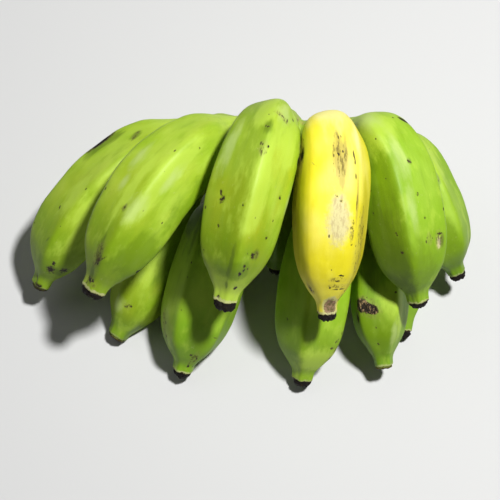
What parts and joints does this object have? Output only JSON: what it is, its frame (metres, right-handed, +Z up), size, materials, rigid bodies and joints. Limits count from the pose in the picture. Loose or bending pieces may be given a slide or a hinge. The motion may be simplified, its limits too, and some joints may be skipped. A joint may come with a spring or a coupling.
{
  "type": "hand of bananas",
  "caption": "Hand of short, stout cooking bananas fanned in two rows from a cut crown: green fingers with one ripe yellow, lying palm down.",
  "frame": {"origin": "middle of the hand's bounding box, on the surface it lies on", "axes": "+Z up as the hand lies palm down, +X across the hand towards its right-hand fingers, -Y towards the fingertips"},
  "size_m": [0.2222, 0.139, 0.1149],
  "materials": {
    "green_peel": "waxy, semi-gloss",
    "yellow_peel": "waxy, semi-gloss",
    "crown": "matt, cut plant tissue",
    "dried_flower": "matt, dried"
  },
  "bodies": {
    "root": {"crown": "crown", "outer_finger_1": "green_peel", "outer_finger_2": "green_peel", "outer_finger_3": "green_peel", "outer_finger_4": "yellow_peel", "outer_finger_5": "green_peel", "outer_finger_6": "green_peel", "inner_finger_1": "green_peel", "inner_finger_2": "green_peel", "inner_finger_3": "green_peel", "inner_finger_4": "green_peel", "inner_finger_5": "green_peel", "inner_finger_6": "green_peel", "outer_blossom_end_1": "dried_flower", "outer_blossom_end_2": "dried_flower", "outer_blossom_end_3": "dried_flower", "outer_blossom_end_4": "dried_flower", "outer_blossom_end_5": "dried_flower", "outer_blossom_end_6": "dried_flower", "inner_blossom_end_1": "dried_flower", "inner_blossom_end_2": "dried_flower", "inner_blossom_end_3": "dried_flower", "inner_blossom_end_4": "dried_flower", "inner_blossom_end_5": "dried_flower", "inner_blossom_end_6": "dried_flower"}
  },
  "joints": []
}
